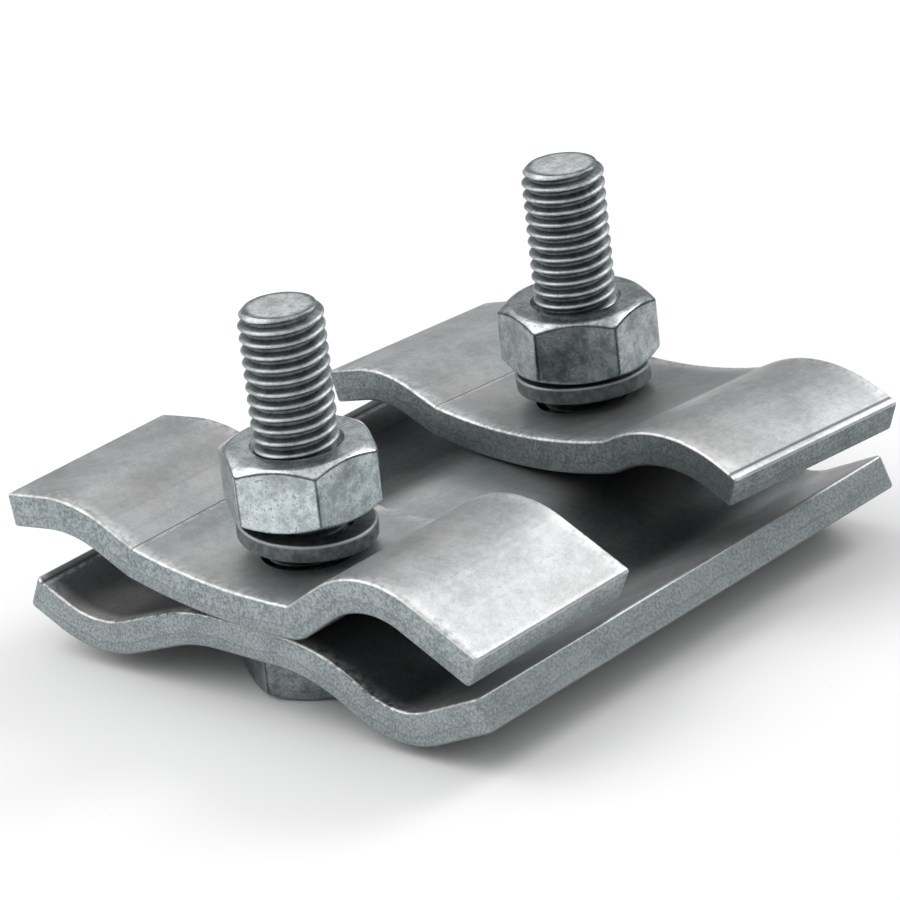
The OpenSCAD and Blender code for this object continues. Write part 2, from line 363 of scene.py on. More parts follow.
# %% [markdown]
# ## The two clamp plates
# The short plates come from the same blank, but they were not pressed alike: on the right,
# one has a high, round hump and the other a low, wide one. Their holes are punched a little
# off the middle and pass the bolts with a millimetre to spare, so the loose plates can
# swivel and rock.
#
# Each plate is shifted along the pattern of the zinc, so that no two plates look alike.

# %% Make and tilt the clamp plates
PLATE_HOLE_R, PLATE_CORNER_R = 6.0, 0.5
GRAIN_SHIFT = 130       # from plate to plate along the pattern of the zinc

for number, (title, unit) in enumerate(UNITS.items(), 1):
    off = (SHEET_T / 2 * sin(unit["rock"]) - unit["shift"]) / cos(unit["rock"])
    hole = (off * sin(unit["swivel"]), off * cos(unit["swivel"]))
    unit["grain_shift"] = GRAIN_SHIFT * number
    plate = sheet(title + "_clamp_pressing", LEFT_PLATE, unit["right"], PLATE_LEN,
                  [hole], PLATE_HOLE_R, PLATE_CORNER_R, unit["grain_shift"])
    set_down(plate, Matrix.Translation((unit["x"], unit["shift"], unit["seat"]))
             @ Matrix.Rotation(unit["rock"], 4, "X") @ Matrix.Rotation(unit["swivel"], 4, "Z")
             @ Matrix.Translation((0, 0, SHEET_T / 2)))
    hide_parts(title + "_clamp_plate")
    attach(plate, title + "_plate_body")
    unit["plate"] = plate

# %% [markdown]
# ## Turned and threaded surfaces
# A screw thread is one ridge that climbs round the shank. Its rows are laid along the helix
# itself, so that the crest is a clean line, and the ends are sawn off square afterwards.
# A hole in the same style gives the nut its inner thread, a little wider than the bolt's,
# and both stay in step when the nut turns.
#
# Two numbers are stored at every point for the finish: crest says how bright it is made,
# a painted highlight that is partly wear, and dark says how much it is darkened, which on
# the threads is painted shade.

# %% One pitch of the thread
PITCH, THREAD_R, THREAD_DEPTH = 1.5, 5.0, 0.92
THREAD_ROWS = (0, 0.07, 0.13, 0.22, 0.31, 0.4, 0.46, 0.54, 0.6, 0.69, 0.78, 0.87, 0.93)
CREST_HALF, FLANK, SOFTNESS = 0.07, 0.32, 0.35


def held(value):
    """The value, held between 0 and 1."""
    return min(1, max(0, value))


def thread_rise(phase):
    """Height of the thread between its root, 0, and its crest, 1, over one pitch."""
    share = 1 - held((abs(phase - 0.5) - CREST_HALF) / FLANK)
    return share * share * (3 - 2 * share) * SOFTNESS + share * (1 - SOFTNESS)


print("the thread at a quarter pitch:", round(thread_rise(0.25), 2))

# %% The helix
HIGHLIGHT_FROM = 0.7       # share of the thread's height above which it gets a painted highlight, partly wear
# Painted shade in the roots of the thread and low on the shank, and how far it fades
ROOT_SHADE, SHANK_SHADE, SHADE_FADE = 0.35, 0.8, 5


def threaded_tube(low, high, radius_of, shade_top):
    """An open tube with a right-hand thread. radius_of limits the thread at a height."""
    mesh = bmesh.new()
    crest = mesh.verts.layers.float.new("crest")
    dark = mesh.verts.layers.float.new("dark")
    rows = []
    for turn in range(math.floor(low / PITCH) - 1, math.ceil(high / PITCH) + 1):
        for phase in THREAD_ROWS:
            rise = thread_rise(phase)
            row = []
            for k in range(AROUND):
                a, z = tau * k / AROUND, PITCH * (turn + phase + k / AROUND)
                r = radius_of(THREAD_R - THREAD_DEPTH * (1 - rise), z)
                vertex = mesh.verts.new((r * cos(a), r * sin(a), z))
                # Painted shade low on the shank and in the roots, and a painted highlight on
                # the crests
                shade_share = held((shade_top - z) / SHADE_FADE)
                vertex[crest] = max(0, rise - HIGHLIGHT_FROM) / (1 - HIGHLIGHT_FROM) * (1 - shade_share)
                vertex[dark] = max(ROOT_SHADE * (1 - rise), SHANK_SHADE * shade_share)
                row.append(vertex)
            rows.append(row)
    # After a full turn, a row goes on in the row that lies one pitch higher.
    for j in range(len(rows) - len(THREAD_ROWS) - 1):
        for k in range(AROUND):
            n = (k + 1) % AROUND
            m = j if n else j + len(THREAD_ROWS)
            mesh.faces.new((rows[j][k], rows[m][n], rows[m + 1][n], rows[j + 1][k]))
    for height, up in ((low, -1), (high, 1)):
        bmesh.ops.bisect_plane(mesh, geom=mesh.verts[:] + mesh.edges[:] + mesh.faces[:],
                               plane_co=(0, 0, height), plane_no=(0, 0, up),
                               clear_outer=True, dist=1e-5)
    return mesh


print("turns of thread on a bolt:", round(BOLT_LEN / PITCH, 1))

# %% [markdown]
# ## Hexagons
# Heads and nuts are pressed hexagons whose corners a cone has turned off. Where the cone
# meets a flat it leaves a curved line, highest at the corners, and that line is what makes
# a nut look like a nut. Each upright column of points is worked out for its own direction,
# with every corner of the column rounded, so the curve comes out exactly.

# %% Rounded lines
def round_corner(before, here, after, radius, steps=4):
    """The points of a short curve that takes the place of a corner."""
    before, here, after = Vector(before), Vector(here), Vector(after)
    back, on = before - here, after - here
    reach = min(radius, 0.45 * back.length, 0.45 * on.length)
    start, end = here + back.normalized() * reach, here + on.normalized() * reach
    return [
        tuple(start * (1 - t) ** 2 + here * 2 * t * (1 - t) + end * t ** 2)
        for t in (k / steps for k in range(steps + 1))
    ]


def rounded(points, radius):
    """An open line of points with each inner corner rounded off."""
    out = [points[0]]
    for corner in zip(points, points[1:], points[2:]):
        out += round_corner(*corner, radius)
    return out + [points[-1]]


print("a right angle, rounded:", len(rounded([(0, 0), (1, 0), (1, 1)], 0.2)), "points")

# %% The plan of a hexagon
SIXTH = math.pi / 3
HEX_CORNER_R = 1.0
COLUMNS = (0, 0.8, 1.6, 2.4, 3.2, 4.2, 5.6, 8, 12, 17, 23)   # degrees from a corner


def from_corner(angle):
    """Angle from the nearest corner to a direction."""
    return (angle + SIXTH / 2) % SIXTH - SIXTH / 2


def hexagon_reach(angle):
    """Distance from the axis to the side of a hexagon with rounded corners."""
    off = from_corner(angle)
    centre = (HEX_AF / 2 - HEX_CORNER_R) / cos(SIXTH / 2)
    tangent = math.atan2(HEX_CORNER_R * sin(SIXTH / 2),
                         centre + HEX_CORNER_R * cos(SIXTH / 2))
    if abs(off) > tangent:
        return HEX_AF / 2 / cos(SIXTH / 2 - abs(off))
    return centre * cos(off) + sqrt(HEX_CORNER_R ** 2 - (centre * sin(off)) ** 2)


def hexagon_angles():
    """Directions round a hexagon, close together near its corners."""
    offs = [-o for o in reversed(COLUMNS[1:])] + list(COLUMNS) + [30]
    return [radians(60 * k + o) for k in range(6) for o in offs]


print("columns of a hexagon:", len(hexagon_angles()))

# %% Build a hexagon from its columns
FACE_R = 0.95 * HEX_AF / 2
CHAMFER = tan(radians(30))
HEX_ARRIS_R = 0.32
BAND_HALF = 0.35        # half the height of the bright band on the chamfer
SEAM_A = 1.6            # degrees from a corner over which the side is darker
LINE_DROP, LINE_HALF = 0.1, 0.25    # the dark line under the chamfer
HEX_DARKENING = 0.9


def hexagon_shell(height, inner_r, top_cut, bottom_cut, turn):
    """The outside of a head or nut, from the hole round to the hole, as a closed band."""
    mesh = bmesh.new()
    crest = mesh.verts.layers.float.new("crest")
    dark = mesh.verts.layers.float.new("dark")
    columns = []
    for angle in hexagon_angles():
        reach = hexagon_reach(angle)
        drop = (reach - FACE_R) * CHAMFER
        low_r, low_z = (FACE_R, drop) if bottom_cut else (reach, 0)
        high_r, high_z = (FACE_R, height - drop) if top_cut else (reach, height)
        line = [(inner_r, 0), (low_r, 0)] + ([(reach, low_z)] if bottom_cut else [])
        line += [(reach, height / 2)]
        line += ([(reach, high_z)] if top_cut else []) + [(high_r, height), (inner_r, height)]
        seam = max(0, 1 - abs(from_corner(angle)) / radians(SEAM_A))
        column = []
        for r, z in rounded(line, HEX_ARRIS_R):
            vertex = mesh.verts.new((r * cos(angle + turn), r * sin(angle + turn), z))
            on_side = r > reach - 0.05 and low_z < z < high_z
            band = max(0, 1 - abs(z - high_z - BAND_HALF) / BAND_HALF)
            below = max(0, 1 - abs(z - high_z + LINE_DROP) / LINE_HALF)
            vertex[crest] = band * (r > FACE_R - 0.2)
            vertex[dark] = HEX_DARKENING * max(on_side * seam, top_cut * below * (r > FACE_R + 0.05))
            column.append(vertex)
        columns.append(column)
    for here, following in zip(columns, columns[1:] + columns[:1]):
        for k in range(len(here) - 1):
            mesh.faces.new((here[k], following[k], following[k + 1], here[k + 1]))
    if inner_r < 0.1:
        bmesh.ops.remove_doubles(mesh, verts=mesh.verts, dist=0.02)
    bmesh.ops.recalc_face_normals(mesh, faces=mesh.faces)
    return mesh


def join_shells(name, shells):
    """One object from several shells, each moved up to its own height."""
    whole = bmesh.new()
    whole.verts.layers.float.new("crest")
    whole.verts.layers.float.new("dark")
    for shell, height in shells:
        bmesh.ops.translate(shell, verts=shell.verts, vec=(0, 0, height))
        data = bpy.data.meshes.new("shell")
        shell.to_mesh(data)
        shell.free()
        whole.from_mesh(data)
        bpy.data.meshes.remove(data)
    return new_object(name, whole)


print("across the corners:", round(2 * hexagon_reach(0), 2), "mm")

# %% [markdown]
# ## The bolts
# Each bolt goes in from below. Its hexagon head lies in the hollow under the ridge, and the
# thread runs up through the plates to a chamfered end. The end face was sheared and then
# dipped, so it is slightly domed, and it gets a painted highlight. The part of the shank
# between the plates is darkened with painted shade, which fades out upwards.

# %% Make the bolts
END_R = THREAD_R - THREAD_DEPTH + 0.1
NECK_R, NECK_TOP, NECK_FADE = THREAD_R - 0.35, 1.5, 2.0
# The height at which the painted shade on the shank ends
SHANK_SHADE_TOP = 14
# The dome of the end face, and the strength of its painted highlight
END_DOME, CAP_HIGHLIGHT = 0.12, 1.8
CAP_RINGS = (1, 0.93, 0.8, 0.6, 0.35, 0.12)
SHARP_A = 30


def bolt_limit(radius, z):
    """The thread, trimmed to a cone at the free end and to a plain neck at the head."""
    cone = END_R + (BOLT_LEN - z)
    blend = held((z - NECK_TOP) / NECK_FADE)
    return min(radius * blend + NECK_R * (1 - blend), max(cone, 0.1))


def end_cap():
    """A slightly domed disc that closes the free end."""
    mesh = bmesh.new()
    crest = mesh.verts.layers.float.new("crest")
    rings = [
        [mesh.verts.new((r * cos(a), r * sin(a), END_DOME * (1 - (r / END_R) ** 2)))
         for a in (tau * k / AROUND for k in range(AROUND))]
        for r in (END_R * share for share in CAP_RINGS)
    ]
    for outer, inner in zip(rings, rings[1:]):
        for k in range(AROUND):
            n = (k + 1) % AROUND
            mesh.faces.new((outer[k], outer[n], inner[n], inner[k]))
    mesh.faces.new(rings[-1])
    for vertex in mesh.verts:
        vertex[crest] = CAP_HIGHLIGHT if vertex.co.xy.length < 0.9 * END_R else 0
    return mesh


for title, unit in UNITS.items():
    shank = threaded_tube(0, BOLT_LEN, bolt_limit, SHANK_SHADE_TOP)
    head = hexagon_shell(HEAD_H, 0.01, False, True, 0)
    bolt = join_shells(title + "_stud", [(shank, 0), (head, -HEAD_H), (end_cap(), BOLT_LEN)])
    set_down(bolt, Matrix.Translation((unit["x"], 0, HEAD_TOP)), SHARP_A)
    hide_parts(title + "_bolt")
    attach(bolt, "clamp_base")
    unit["bolt"] = bolt

# %% [markdown]
# ## The nuts
# A nut is the same hexagon, turned off at both ends, with a countersunk and threaded hole.
# The hole is turned until its thread lies in step with the bolt's at the nut's height.

# %% Make the nuts
MOUTH_R, MOUTH_SLOPE = 5.5, 1.4
THREAD_CLEARANCE = 0.05


def nut_limit(radius, z):
    """The inner thread, opened by a countersink at both mouths."""
    from_mouth = max(min(z, NUT_H - z), 0)
    return max(radius + THREAD_CLEARANCE, MOUTH_R - MOUTH_SLOPE * from_mouth)


for title, unit in UNITS.items():
    shell = hexagon_shell(NUT_H, MOUTH_R, True, True, unit["turn"])
    hole = threaded_tube(0, NUT_H, nut_limit, 0)
    in_step = Matrix.Rotation(tau * (unit["nut_z"] - HEAD_TOP) / PITCH, 3, "Z")
    bmesh.ops.rotate(hole, cent=(0, 0, 0), matrix=in_step, verts=hole.verts)
    bmesh.ops.reverse_faces(hole, faces=hole.faces)
    nut = join_shells(title + "_hex_nut", [(shell, 0), (hole, 0)])
    set_down(nut, Matrix.Translation((unit["x"], 0, unit["nut_z"])), SHARP_A)
    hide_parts(title + "_nut")
    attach(nut, title + "_nut_body")
    unit["nut"] = nut

# %% [markdown]
# ## The spring washers
# A spring washer is one turn of square wire. Nothing is tightened, so it still stands open:
# the coil climbs clockwise from one sawn end to the other. A rounded section is swept round
# that coil and both ends are closed. Its upper outer arris gets a painted highlight.

# %% Make the spring washers
WIRE_CORNER_R = 0.38
COIL_STEPS = 120
# Width of the painted highlight on the upper outer arris
HIGHLIGHT_W = 0.3


def wire_section():
    """The rounded outline of the wire, as pairs of a radius and a height."""
    low_r, high_r = WASHER_BORE / 2, WASHER_D / 2
    corners = [(low_r, 0), (high_r, 0), (high_r, WASHER_T), (low_r, WASHER_T)]
    out = []
    for k, corner in enumerate(corners):
        out += round_corner(corners[k - 1], corner, corners[(k + 1) % 4], WIRE_CORNER_R)
    return out


def spring_washer(name, split):
    """One turn of wire that climbs by the washer's free rise."""
    mesh = bmesh.new()
    crest = mesh.verts.layers.float.new("crest")
    section = wire_section()
    rings = []
    for share in (n / COIL_STEPS for n in range(COIL_STEPS + 1)):
        ring = []
        for r, z in section:
            a = coil_angle(share, split) + radians(SPLIT_LEAN_A) * z / WASHER_T
            vertex = mesh.verts.new((r * cos(a), r * sin(a), z + share * WASHER_RISE))
            vertex[crest] = r > WASHER_D / 2 - HIGHLIGHT_W and z > WASHER_T - HIGHLIGHT_W
            ring.append(vertex)
        rings.append(ring)
    for here, following in zip(rings, rings[1:]):
        for k in range(len(here)):
            n = (k + 1) % len(here)
            mesh.faces.new((here[k], here[n], following[n], following[k]))
    mesh.faces.new(rings[0])
    mesh.faces.new(list(reversed(rings[-1])))
    bmesh.ops.recalc_face_normals(mesh, faces=mesh.faces)
    return new_object(name, mesh)


for title, unit in UNITS.items():
    washer = spring_washer(title + "_coil_washer", unit["split"])
    set_down(washer, Matrix.Translation((unit["x"], 0, unit["washer_z"]))
             @ Matrix.Rotation(unit["rock"], 4, "X")
             @ Matrix.Translation((0, washer_slide(unit["rock"]), 0)))
    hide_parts(title + "_spring_washer")
    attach(washer, title + "_washer_body")
    unit["washer"] = washer

# %% [markdown]
# ## Arithmetic that builds a finish
# A finish is a small graph of nodes. The class below wraps one output socket and lets plain
# arithmetic add the Math nodes, so a finish reads like a formula. A mask is a value between
# 0 and 1 that says where something shows.

# %% A socket that can be calculated with
class Shade:
    """One output socket of a material's graph, or none yet, at the start of a graph."""

    def __init__(self, tree, socket=None):
        self.tree, self.socket = tree, socket

    def node(self, kind, settings=None, sockets=None, output=0):
        """Adds a node, sets it up, and fills its sockets with numbers or links."""
        made = self.tree.nodes.new(kind)
        for name, value in (settings or {}).items():
            setattr(made, name, value)
        for name, value in (sockets or {}).items():
            if isinstance(value, Shade):
                self.tree.links.new(value.socket, made.inputs[name])
            else:
                made.inputs[name].default_value = value
        return Shade(self.tree, made.outputs[output])

    def sum(self, operation, first, second):
        """A Math node, or a Vector Math node where this socket is a vector."""
        kind = "ShaderNodeMath"
        if self.socket.type == "VECTOR":
            kind = "ShaderNodeVectorMath"
            first, second = [(v,) * 3 if isinstance(v, (int, float)) else v
                             for v in (first, second)]
        return self.node(kind, {"operation": operation}, {0: first, 1: second})

    def __add__(self, other):
        return self.sum("ADD", self, other)

    def __radd__(self, other):
        return self.sum("ADD", other, self)

    def __sub__(self, other):
        return self.sum("SUBTRACT", self, other)

    def __rsub__(self, other):
        return self.sum("SUBTRACT", other, self)

    def __mul__(self, other):
        return self.sum("MULTIPLY", self, other)

    def __rmul__(self, other):
        return self.sum("MULTIPLY", other, self)

    def size(self):
        """The value without its sign."""
        return self.node("ShaderNodeMath", {"operation": "ABSOLUTE"}, {0: self})

    def step(self, low, high):
        """0 below low, 1 above high, and a smooth climb between them."""
        return self.node("ShaderNodeMapRange", {"interpolation_type": "SMOOTHSTEP"},
                         {"Value": self, "From Min": low, "From Max": high})

    def blend(self, off, on):
        """A colour between off and on, with this value as the share of on."""
        made = self.node("ShaderNodeMix", {"data_type": "RGBA"}, {"Factor": self}, 2)
        inputs = [s for s in made.socket.node.inputs if s.type == "RGBA"]
        for socket, value in zip(inputs, (off, on)):
            if isinstance(value, Shade):
                self.tree.links.new(value.socket, socket)
            else:
                socket.default_value = (*value, 1)
        return made

    def axis(self, number):
        """One coordinate of a place."""
        return self.node("ShaderNodeSeparateXYZ", {}, {"Vector": self}, number)

    def noise(self, scale, detail, roughness=0.5):
        """Cloudy noise at a place, with about scale patches to a unit."""
        return self.node("ShaderNodeTexNoise", {}, {
            "Vector": self, "Scale": scale, "Detail": detail, "Roughness": roughness})

    def relief(self, strength, distance):
        """The surface, bent as if this value were its height."""
        return self.node("ShaderNodeBump", {}, {
            "Strength": strength, "Distance": distance, "Height": self})


print("operators with a reflected form:", sum(n.startswith("__r") for n in vars(Shade)))

# %% A new finish
AS_VECTOR, AS_NUMBER, OBJECT_PLACE = 1, 2, 3    # outputs of the nodes that read a place
CELL_COLOUR = 1                                 # an output of the node for crystals


def shader_socket(material, name):
    """A socket of the finish's shader."""
    return material.node_tree.nodes["Principled BSDF"].inputs[name.replace("_", " ")]


def new_finish(name, **fixed):
    """An empty finish. Values that are the same all over go on its own sockets."""
    material = bpy.data.materials.new(name)
    material.use_nodes = True
    for socket, value in fixed.items():
        shader_socket(material, socket).default_value = value
    return material, Shade(material.node_tree)


def plug(material, **parts):
    """Links what changes over the surface into the shader."""
    for socket, value in parts.items():
        material.node_tree.links.new(value.socket, shader_socket(material, socket))


def stored(start, name, output):
    """What a mesh holds under a name, at each place."""
    return start.node("ShaderNodeAttribute", {"attribute_name": name}, {}, output)


def grey(level, cool=0.0):
    """A grey that leans a little to blue green, as zinc does where it has dulled."""
    return (level * (1 - cool), level, level * (1 + cool / 4))


print("dulled zinc:", [round(part, 3) for part in grey(0.4, 0.05)])

# %% [markdown]
# ## Hot-dip zinc on rolled skin
# Zinc freezes on the steel in pale crystals. Years of handling dull it to a mottled grey, so
# the skin gets broad clouds, crystal patches a few millimetres wide, and a fine grain that
# breaks up highlights.
#
# Over that lies what use has added: faint dark streaks drawn along the sheet, dark pits round
# the bolt holes and a faint brown stain in a few broad patches. Painted shade darkens the
# grooves, the undersides, a few slopes of the clamp plates and the base where the clamp plates
# cover it. Thin dark lines of painted shade lie in the creases where the press bent the sheet
# most, each with a painted highlight beside it, and the ends get painted highlights.

# %% The finish of the pressed skin
FRESH_ZINC = grey(0.40, 0.05), grey(0.60, 0.03)
# Painted shade, also the dark streaks' grey; the pits' grey; painted shade in the creases
STREAK_AND_SHADE_GREY, PIT, CREASE_SHADE_GREY = grey(0.06, 0.2), grey(0.12, 0.12), grey(0.05)
# The first colour is the painted highlight; the brown is a stain
HIGHLIGHT_ZINC, BROWN_STAIN = grey(0.8), (0.44, 0.36, 0.33)
BAND_FADE = 5.0
UNDER_FRONT, UNDER_REAR = (-14, -9), (3.0, 10.0)    # along the base, where the painted shadow fades
RIM_CLEAR = (22.0, 28.0)    # sideways, where the painted shadow ends
NEAR_HOLE = (8.0, 14.0)     # sideways, where the pits end
END_HIGHLIGHT_SPAN = (0.9, 3.2)       # from the end of a plate, where the painted highlight fades
CREASE_HALF = (0.06, 0.34)
BESIDE, BESIDE_HALF = 0.5, (0.1, 0.4)               # the painted highlight next to a crease


def rolled_zinc(name, shade_bands, creases, middle_x, half_len, plate_shadow):
    """shade_bands are (middle, half width, strength) of painted shade, and creases are places.
    """
    material, start = new_finish(name, Metallic=0.9)
    place = stored(start, "blank_place", AS_VECTOR)
    along, across, level = (place.axis(k) for k in range(3))
    along = along - middle_x
    aside = across.size()
    top = level.step(-0.3, 0.3)

    clouds = place.noise(0.12, 5.0, 0.6)
    grain = place.noise(1.3, 6.0, 0.7)
    fine = place.noise(3.6, 4.0, 0.6)
    crystals = place.node("ShaderNodeTexVoronoi", {"feature": "SMOOTH_F1"},
                          {"Vector": place, "Scale": 0.8, "Smoothness": 0.6}, CELL_COLOUR)
    patch = crystals.node("ShaderNodeSeparateColor", {}, {"Color": crystals})
    tone = 0.42 * clouds + 0.06 * patch + 0.26 * grain + 0.26 * fine
    clean = tone.step(0.36, 0.64).blend(*FRESH_ZINC)

    # Dark streaks along the sheet; painted shade on the underside, in stripes, under the plates
    streaks = (place * (0.03, 1.0, 1.0)).noise(1.6, 2.0).step(0.56, 0.68)
    shade_and_streaks = 0.07 * streaks + 0.5 * (1 - top)
    for middle, half, strength in shade_bands:
        off = (across + 2.0 * clouds - 1.0 - middle).size()
        shade_and_streaks = shade_and_streaks + strength * top * (1 - off.step(half, half + BAND_FADE))
    # Painted shadow on the base under the clamp plates
    covered = (along + 3.0 * clouds).step(*UNDER_REAR) + 1 - along.step(*UNDER_FRONT)
    covered = covered * (1 - aside.step(*RIM_CLEAR))
    shade_and_streaks = (shade_and_streaks + plate_shadow * covered * top * (1 - shade_and_streaks)) * (0.74 + 0.46 * grain)
    shade_and_streaks = shade_and_streaks.node("ShaderNodeClamp", {}, {"Value": shade_and_streaks})
    streaked_and_shaded = shade_and_streaks.blend(clean, STREAK_AND_SHADE_GREY)

    near_hole = 1 - aside.step(*NEAR_HOLE)
    pits = (0.5 * grain + 0.5 * fine).step(0.575, 0.63) * near_hole * top
    marked = (0.45 * pits).blend(streaked_and_shaded, PIT)

    # Painted highlights at the ends, and creases of painted shade with a painted highlight
    # beside
    inside = half_len - along.size() + 1.2 * grain
    patchy = (0.4 * clouds + 0.6 * grain).step(0.4, 0.58)
    painted_highlight = 0.75 * (1 - inside.step(*END_HIGHLIGHT_SPAN)) * top * patchy
    crease_shade = 0.0
    for middle in creases:
        crease_shade = crease_shade + (1 - (across - middle).size().step(*CREASE_HALF)) * top
        beside = 1 - (across - middle + BESIDE).size().step(*BESIDE_HALF)
        painted_highlight = painted_highlight + 0.4 * beside * top * patchy
    highlighted = painted_highlight.blend(marked, HIGHLIGHT_ZINC)
    stain = 0.16 * place.noise(0.07, 2.0).step(0.5, 0.68)
    # Painted shade in the creases, over the brown stain
    colour = (0.75 * crease_shade).blend(stain.blend(highlighted, BROWN_STAIN), CREASE_SHADE_GREY)
    height = 0.55 * grain + 0.45 * fine - 0.4 * pits
    plug(material, Base_Color=colour, Roughness=0.33 + 0.12 * grain + 0.08 * fine,
         Normal=height.relief(0.3, 0.0001))
    return material


# %% [markdown]
# ## Zinc on a sheared edge
# A shear pushes through the sheet, then the steel tears. The upper part of the edge is
# rubbed smooth, the lower part is torn and rough, and a ragged line parts them. Zinc covers
# both, and it lies on them in pale lumps.

# %% The finish of the sheared edges
def sheared_zinc(name, level):
    """Level is the grey of the edge's middle tone."""
    material, start = new_finish(name, Metallic=0.85)
    place = stored(start, "blank_place", AS_VECTOR)
    lumps = place.noise(2.8, 3.0, 0.6)
    broad = place.noise(0.3, 3.0)
    tear = place.axis(2) + 1.6 * place.noise(0.35, 3.0) - 0.8
    # The line between the zones is darkened: a painted shadow of a small step
    line = 1 - (tear + 0.55).size().step(0.02, 0.2)
    torn = 1 - tear.step(-0.7, -0.4)
    speck = (0.75 * lumps + 0.25 * broad).step(0.34, 0.66)
    tone = speck * (1 - 0.6 * line) * (1 - 0.2 * torn)
    plug(material, Base_Color=tone.blend(grey(0.6 * level, 0.14), grey(1.1 * level, 0.1)),
         Roughness=0.42 + 0.2 * (1 - speck),
         Normal=(lumps - 0.6 * line).relief(0.25, 0.00012))
    return material


# %% [markdown]
# ## Zinc on the fasteners
# Bolts and nuts are dipped and spun, so their zinc is thinner and brighter. Thread crests and
# end faces get painted highlights, partly wear, and the nuts' top chamfers a bright band.
# Painted shade darkens the roots of the threads and the shank low down, and the hexagons are
# darker along their corners and in a thin line under a nut's top chamfer. Spring washers are
# of darker steel with a thin coat.

# %% The finish of bolts and nuts
# Bright zinc for painted highlights; the last grey is painted shade, and darkens hexagon
# corners
BRIGHT_ZINC = grey(0.52, 0.06), grey(0.86, 0.03)
SPUN_PIT, SHADE_AND_DARK_LINES = grey(0.12), grey(0.03)


def spun_zinc(name, dark_level, pale_level, dullness, highlight_and_wear):
    """Dullness goes on the roughness; highlight_and_wear is how bright painted highlights are.
    """
    material, start = new_finish(name, Metallic=0.92)
    place = start.node("ShaderNodeTexCoord", output=OBJECT_PLACE) * (1 / MM)
    mottle = place.noise(0.55, 5.0, 0.68)
    fine = place.noise(2.4, 3.0)
    tone = 0.68 * mottle + 0.32 * fine
    skin = tone.step(0.38, 0.64).blend(grey(dark_level, 0.14), grey(pale_level, 0.08))
    pits = (0.4 * mottle + 0.6 * fine).step(0.56, 0.62)
    skin = (0.6 * pits).blend(skin, SPUN_PIT)
    # Painted shade in the roots and low on the shank; darker corners and lines on the hexagons
    skin = stored(start, "dark", AS_NUMBER).blend(skin, SHADE_AND_DARK_LINES)
    # Painted highlight on crests and end faces, partly wear, and a bright band on nut chamfers
    bright = tone.step(0.36, 0.62).blend(*BRIGHT_ZINC)
    colour = (stored(start, "crest", AS_NUMBER) * highlight_and_wear).blend(skin, bright)
    plug(material, Base_Color=colour, Roughness=dullness + 0.2 * tone,
         Normal=tone.relief(0.4, 0.0001))
    return material


# %% The finish of the spring washers
def spring_zinc():
    """A thin, dark coat with a painted highlight on the outer arris."""
    material, start = new_finish("spring_zinc", Metallic=0.85)
    place = start.node("ShaderNodeTexCoord", output=OBJECT_PLACE) * (1 / MM)
    mottle = place.noise(0.8, 5.0, 0.7)
    skin = mottle.step(0.35, 0.68).blend(grey(0.1, 0.12), grey(0.2, 0.1))
    # Painted highlight on the upper outer arris
    colour = (0.5 * stored(start, "crest", AS_NUMBER)).blend(skin, grey(0.6))
    plug(material, Base_Color=colour, Roughness=0.38 + 0.15 * mottle,
         Normal=mottle.relief(0.5, 0.00015))
    return material


# %% [markdown]
# ## Every piece gets its finish
# The painted shade lies on different parts of each plate, so its stripes and creases are given
# plate by plate, as distances from the middle of the sheet, with the left side positive. The
# rear nut is darker than the front one: painted shade.

# %% Give the plates their finish
PLATE_FINISHES = {
    "base": dict(shade_bands=[(23.0, 12.0, 0.8), (-17.0, 5.5, 0.72)], creases=[35.0],
                 middle_x=0, half_len=BASE_LEN / 2, plate_shadow=0.6),
    "front": dict(shade_bands=[(17.0, 4.0, 0.3)], creases=[15.2],
                  middle_x=UNITS["front"]["grain_shift"], half_len=PLATE_LEN / 2, plate_shadow=0),
    "rear": dict(shade_bands=[(-5.0, 10.0, 0.3), (15.0, 5.0, 0.25)], creases=[15.2, -37.9],
                 middle_x=UNITS["rear"]["grain_shift"], half_len=PLATE_LEN / 2, plate_shadow=0),
}
# The rear plate's sheared edges are darker than the others: painted shade
EDGE_LEVELS = {"base": 0.46, "front": 0.46, "rear": 0.27}
PRESSINGS = {"base": base, "front": UNITS["front"]["plate"], "rear": UNITS["rear"]["plate"]}
for title, piece in PRESSINGS.items():
    for finish in (rolled_zinc(title + "_skin_zinc", **PLATE_FINISHES[title]),
                   sheared_zinc(title + "_edge_zinc", EDGE_LEVELS[title])):
        piece.data.materials.append(finish)
    print(title, "has", [m.name for m in piece.data.materials])

# %% Give the fasteners their finish
bolt_finish, coil_finish = spun_zinc("bolt_zinc", 0.16, 0.36, 0.33, 0.5), spring_zinc()
nut_finishes = {
    "front": spun_zinc("front_nut_zinc", 0.4, 0.8, 0.16, 0.8),
    # The rear nut's darker zinc is painted shade
    "rear": spun_zinc("rear_nut_zinc", 0.22, 0.5, 0.16, 0.8),
}
for title, unit in UNITS.items():
    unit["bolt"].data.materials.append(bolt_finish)
    unit["nut"].data.materials.append(nut_finishes[title])
    unit["washer"].data.materials.append(coil_finish)
print("finishes:", [m.name for m in bpy.data.materials if m.users])

# %% [markdown]
# ## The floor
# The clamp stands on its two bolt heads on a pale studio floor, which keeps its shadow.

# %% Lay the floor
FLOOR_HALF = 6.0
floor_z = (HEAD_TOP - HEAD_H) * MM - 0.00002    # just under the heads, so nothing flickers
mesh = bmesh.new()
bmesh.ops.create_grid(mesh, x_segments=8, y_segments=8, size=FLOOR_HALF)
floor = new_object("studio_floor", mesh)
floor.location.z = floor_z
material, start = new_finish("pale_floor", Roughness=0.9)
speckle = start.node("ShaderNodeTexNoise", {}, {"Scale": 60.0, "Detail": 2.0})
plug(material, Base_Color=speckle.blend(grey(0.86), grey(0.9)))
floor.data.materials.append(material)
print("floor at", round(floor_z / MM, 2), "mm")

